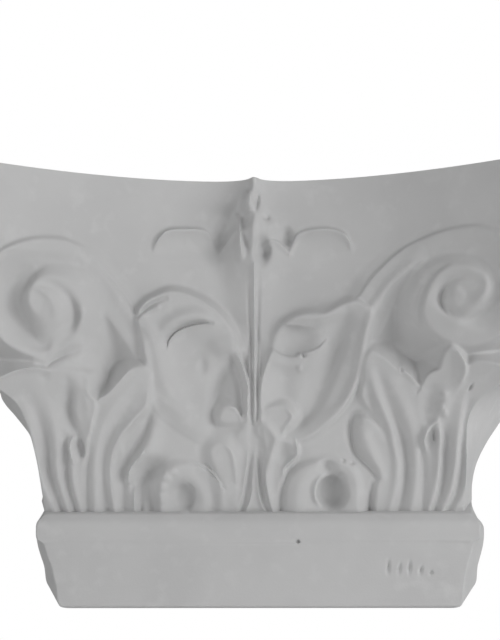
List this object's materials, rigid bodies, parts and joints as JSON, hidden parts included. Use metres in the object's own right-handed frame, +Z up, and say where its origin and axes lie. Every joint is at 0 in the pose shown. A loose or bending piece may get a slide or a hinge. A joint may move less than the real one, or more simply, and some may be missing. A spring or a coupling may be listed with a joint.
{
  "type": "corbel",
  "caption": "Cast plaster corbel in the form of a half capital: scrolls and acanthus leaves over a plain moulding, flat at the back, top and underside.",
  "frame": {"origin": "middle of the flat back, where the corbel meets the wall, at half its height", "axes": "+Z up, +Y into the wall, -Y the way the carved face looks, X across the face"},
  "size_m": [0.2888, 0.1118, 0.213],
  "materials": {
    "cast_plaster": "matt cast plaster, neutral pale grey"
  },
  "bodies": {
    "root": {"corbel": "cast_plaster"}
  },
  "joints": []
}
